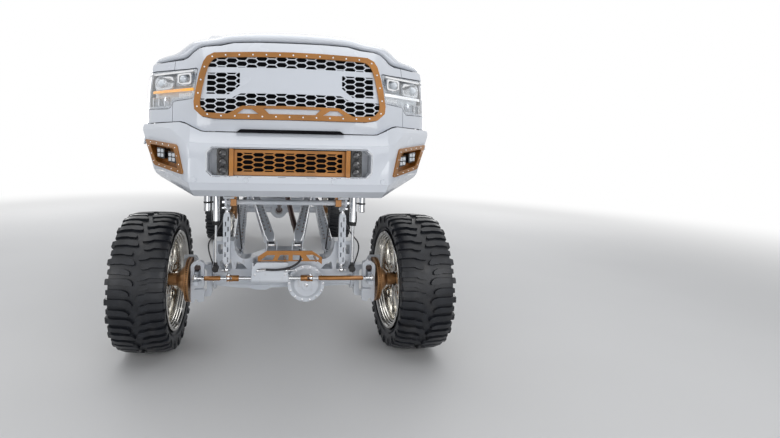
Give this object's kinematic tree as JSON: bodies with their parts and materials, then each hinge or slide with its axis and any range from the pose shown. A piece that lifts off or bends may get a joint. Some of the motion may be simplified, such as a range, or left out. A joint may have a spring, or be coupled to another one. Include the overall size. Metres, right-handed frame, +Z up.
{
  "type": "lifted pickup truck",
  "caption": "Crew cab long-bed pickup raised high on long link arms and tall shocks, with hinged doors, hood and tailgate, steered front axle and big mud tyres.",
  "frame": {"origin": "on the ground under the middle of the truck's length and width", "axes": "+Z up, +Y to the rear, +X to the truck's left side"},
  "size_m": [2.564, 6.624, 3.0698],
  "materials": {
    "black_plastic": "matte",
    "cast_grey": "cast",
    "copper_paint": "satin",
    "cream_paint": "gloss",
    "dark_iron": "rough",
    "frame_black": "satin",
    "lamp_glass": "gloss",
    "pearl_white": "gloss",
    "polished": "mirror",
    "red_lamp": "gloss",
    "seat_fabric": "woven",
    "tyre_rubber": "matte",
    "window_glass": "gloss"
  },
  "bodies": {
    "truck": {"axle_truss": "cream_paint", "bed": "pearl_white", "bumper_lamps": "black_plastic", "bumper_mesh": "copper_paint", "cab_glass": "window_glass", "cab_shell": "pearl_white", "corner_bezels": "copper_paint", "dampers": "polished", "dashboard": "black_plastic", "driveshafts": "dark_iron", "drop_brackets": "cream_paint", "engine": "dark_iron", "fenders": "pearl_white", "frame": "frame_black", "front_axle": "cream_paint", "front_bumper": "pearl_white", "gearbox": "cast_grey", "grille_mesh": "pearl_white", "grille_shell": "pearl_white", "grille_surround": "copper_paint", "head_lamps": "lamp_glass", "hitch_receiver": "frame_black", "link_arms": "cream_paint", "radiator": "cast_grey", "rear_axle": "cream_paint", "rear_bumper": "pearl_white", "seats": "seat_fabric", "steering_cylinder": "cream_paint", "steering_wheel": "black_plastic", "sway_bar": "cream_paint", "tail_lamps": "red_lamp", "truss_brace": "copper_paint"},
    "hood": {"hood": "pearl_white"},
    "door_fl": {"door_front_l": "pearl_white", "glass_front_l": "window_glass"},
    "door_fr": {"door_front_r": "pearl_white", "glass_front_r": "window_glass"},
    "door_rl": {"door_rear_l": "pearl_white", "glass_rear_l": "window_glass"},
    "door_rr": {"door_rear_r": "pearl_white", "glass_rear_r": "window_glass"},
    "tailgate": {"tailgate": "pearl_white"},
    "knuckle_l": {"knuckle_l": "cream_paint"},
    "knuckle_r": {"knuckle_r": "cream_paint"},
    "steering_rods": {"steering_rods": "copper_paint"},
    "wheel_fl": {"tyre_fl": "tyre_rubber", "rim_fl": "polished", "rotor_fl": "copper_paint"},
    "wheel_fr": {"tyre_fr": "tyre_rubber", "rim_fr": "polished", "rotor_fr": "copper_paint"},
    "wheel_rl": {"tyre_rl": "tyre_rubber", "rim_rl": "polished", "rotor_rl": "copper_paint"},
    "wheel_rr": {"tyre_rr": "tyre_rubber", "rim_rr": "polished", "rotor_rr": "copper_paint"}
  },
  "joints": [
    {"name": "hood_hinge", "type": "hinge", "parent": "truck", "child": "hood", "pos_m": [0, -1.844, 2.484], "axis": [-1, 0, 0], "range_deg": [0, 50]},
    {"name": "door_fl_hinge", "type": "hinge", "parent": "truck", "child": "door_fl", "pos_m": [0.998, -1.664, 2.2], "axis": [0, 0, -1], "range_deg": [0, 65]},
    {"name": "door_fr_hinge", "type": "hinge", "parent": "truck", "child": "door_fr", "pos_m": [-0.998, -1.664, 2.2], "axis": [0, 0, 1], "range_deg": [0, 65]},
    {"name": "door_rl_hinge", "type": "hinge", "parent": "truck", "child": "door_rl", "pos_m": [0.998, -0.567, 2.2], "axis": [0, 0, -1], "range_deg": [0, 65]},
    {"name": "door_rr_hinge", "type": "hinge", "parent": "truck", "child": "door_rr", "pos_m": [-0.998, -0.567, 2.2], "axis": [0, 0, 1], "range_deg": [0, 65]},
    {"name": "tailgate_hinge", "type": "hinge", "parent": "truck", "child": "tailgate", "pos_m": [0, 3.117, 1.972], "axis": [-1, 0, 0], "range_deg": [0, 90]},
    {"name": "steer_l", "type": "hinge", "parent": "truck", "child": "knuckle_l", "pos_m": [0.7, -2.308, 0.565], "axis": [0, 0, 1], "range_deg": [-25, 25]},
    {"name": "steer_r", "type": "hinge", "parent": "truck", "child": "knuckle_r", "pos_m": [-0.7, -2.308, 0.565], "axis": [0, 0, 1], "range_deg": [-25, 25]},
    {"name": "steer_rods", "type": "slide", "parent": "truck", "child": "steering_rods", "axis": [1, 0, 0], "range_m": [-0.0873, 0.0873]},
    {"name": "wheel_fl_spin", "type": "hinge", "parent": "knuckle_l", "child": "wheel_fl", "pos_m": [1.067, -2.308, 0.565], "axis": [1, 0, 0], "continuous": true},
    {"name": "wheel_fr_spin", "type": "hinge", "parent": "knuckle_r", "child": "wheel_fr", "pos_m": [-1.067, -2.308, 0.565], "axis": [1, 0, 0], "continuous": true},
    {"name": "wheel_rl_spin", "type": "hinge", "parent": "truck", "child": "wheel_rl", "pos_m": [1.067, 1.997, 0.565], "axis": [1, 0, 0], "continuous": true},
    {"name": "wheel_rr_spin", "type": "hinge", "parent": "truck", "child": "wheel_rr", "pos_m": [-1.067, 1.997, 0.565], "axis": [1, 0, 0], "continuous": true}
  ],
  "couplings": [
    {"joint": "steer_r", "follows": "steer_l", "ratio": 1},
    {"joint": "steer_rods", "follows": "steer_l", "m_per_rad": 0.2}
  ]
}
